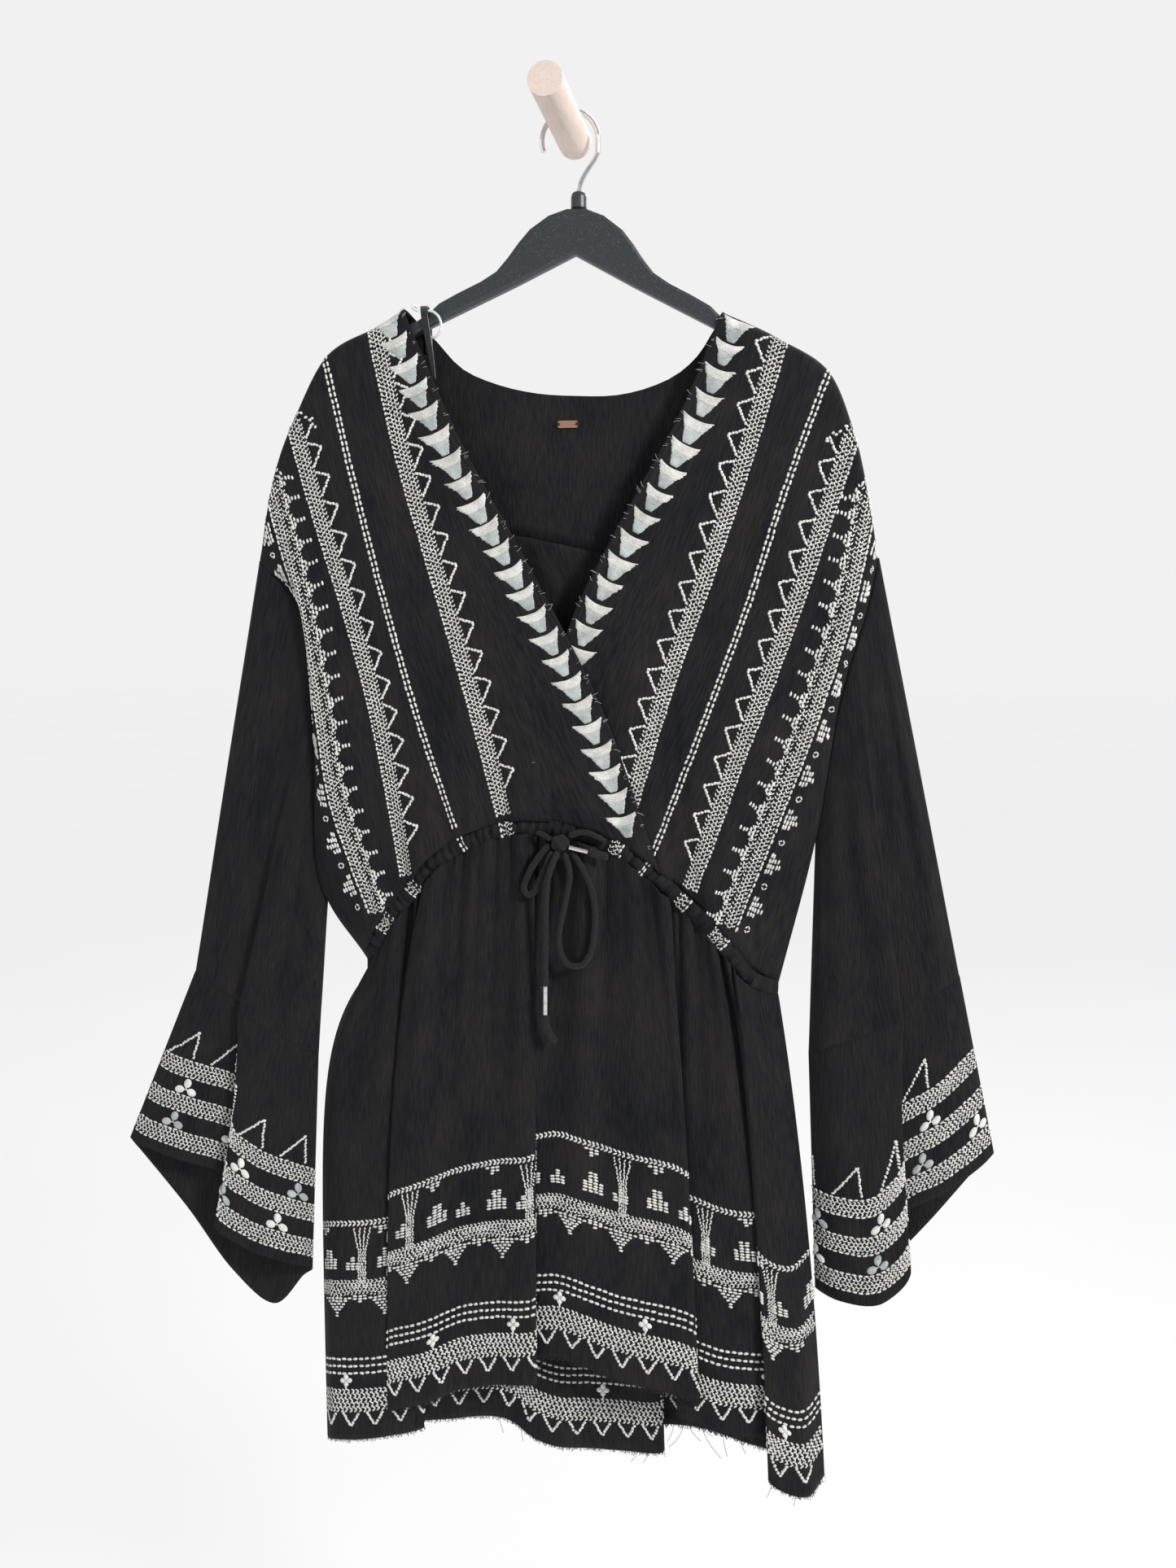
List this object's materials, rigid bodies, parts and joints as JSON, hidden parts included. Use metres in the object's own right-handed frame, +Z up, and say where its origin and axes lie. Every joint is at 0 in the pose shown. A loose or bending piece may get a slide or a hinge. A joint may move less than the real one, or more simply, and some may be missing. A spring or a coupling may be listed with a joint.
{
  "type": "embroidered wrap tunic on a hanger",
  "caption": "Black wrap-front tunic with bell sleeves, drawstring waist and flared uneven skirt, hung by its shoulders on a hanger whose wire hook rests over a wall peg.",
  "frame": {"origin": "centre of the peg's flat foot on the wall, from which hanger and tunic hang", "axes": "+Z up, +Y into the wall, +X to the right of someone who faces the tunic"},
  "size_m": [0.7372, 0.0871, 1.121],
  "materials": {
    "black_cotton": "matt black cotton crepe",
    "black_satin": "black satin ribbon",
    "black_plastic": "worn satin black plastic",
    "pale_wood": "pale bare wood, fine grain",
    "chrome": "bright plated wire",
    "copper": "brushed copper-coloured metal",
    "silver": "dull silver-coloured metal"
  },
  "bodies": {
    "root": {"front_left": "black_cotton", "front_right": "black_cotton", "back_yoke": "black_cotton", "back_bodice": "black_cotton", "casing_front": "black_cotton", "casing_back": "black_cotton", "skirt_front": "black_cotton", "skirt_back": "black_cotton", "sleeve_left": "black_cotton", "sleeve_right": "black_cotton", "cuff_left": "black_cotton", "cuff_right": "black_cotton", "bow_knot": "black_cotton", "cord_loop_left": "black_cotton", "cord_loop_right": "black_cotton", "cord_end_left": "black_cotton", "cord_entry_left": "black_cotton", "cord_entry_right": "black_cotton", "cord_knot_left": "black_cotton", "cord_knot_right": "black_cotton", "hanging_ribbon": "black_satin", "hanger": "black_plastic", "hook_collar": "black_plastic", "wall_peg": "pale_wood", "hook": "chrome", "neck_plate": "copper", "cord_tip_left": "silver", "cord_tip_right": "silver"}
  },
  "joints": []
}
